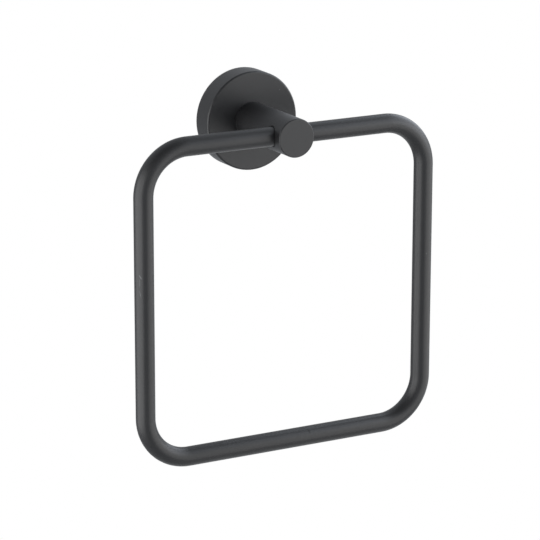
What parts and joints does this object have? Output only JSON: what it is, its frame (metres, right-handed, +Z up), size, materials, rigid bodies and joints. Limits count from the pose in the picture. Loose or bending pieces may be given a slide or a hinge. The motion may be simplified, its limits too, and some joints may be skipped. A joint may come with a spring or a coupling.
{
  "type": "towel ring",
  "caption": "Wall-mounted towel ring: a square bar with rounded corners swings in a round post on a round flange with a hidden wall plate; satin black coated metal.",
  "frame": {"origin": "on the wall plane, on the axis of the post", "axes": "+Y into the wall, +Z up, +X to the right of someone facing the wall"},
  "size_m": [0.172, 0.06, 0.193],
  "materials": {
    "black_coat": "satin black powder coat",
    "zinc_plate": "bright zinc plating on steel",
    "screw_steel": "plain stainless steel"
  },
  "bodies": {
    "base": {"flange": "black_coat", "wall_plate": "zinc_plate", "post": "black_coat", "post_screw": "screw_steel", "lock_washer": "screw_steel", "set_screw": "screw_steel"},
    "ring": {"ring": "black_coat"}
  },
  "joints": [
    {"name": "ring_swing", "type": "hinge", "parent": "base", "child": "ring", "pos_m": [0, -0.05, 0], "axis": [-1, 0, 0], "range_deg": [-16, 196]}
  ]
}
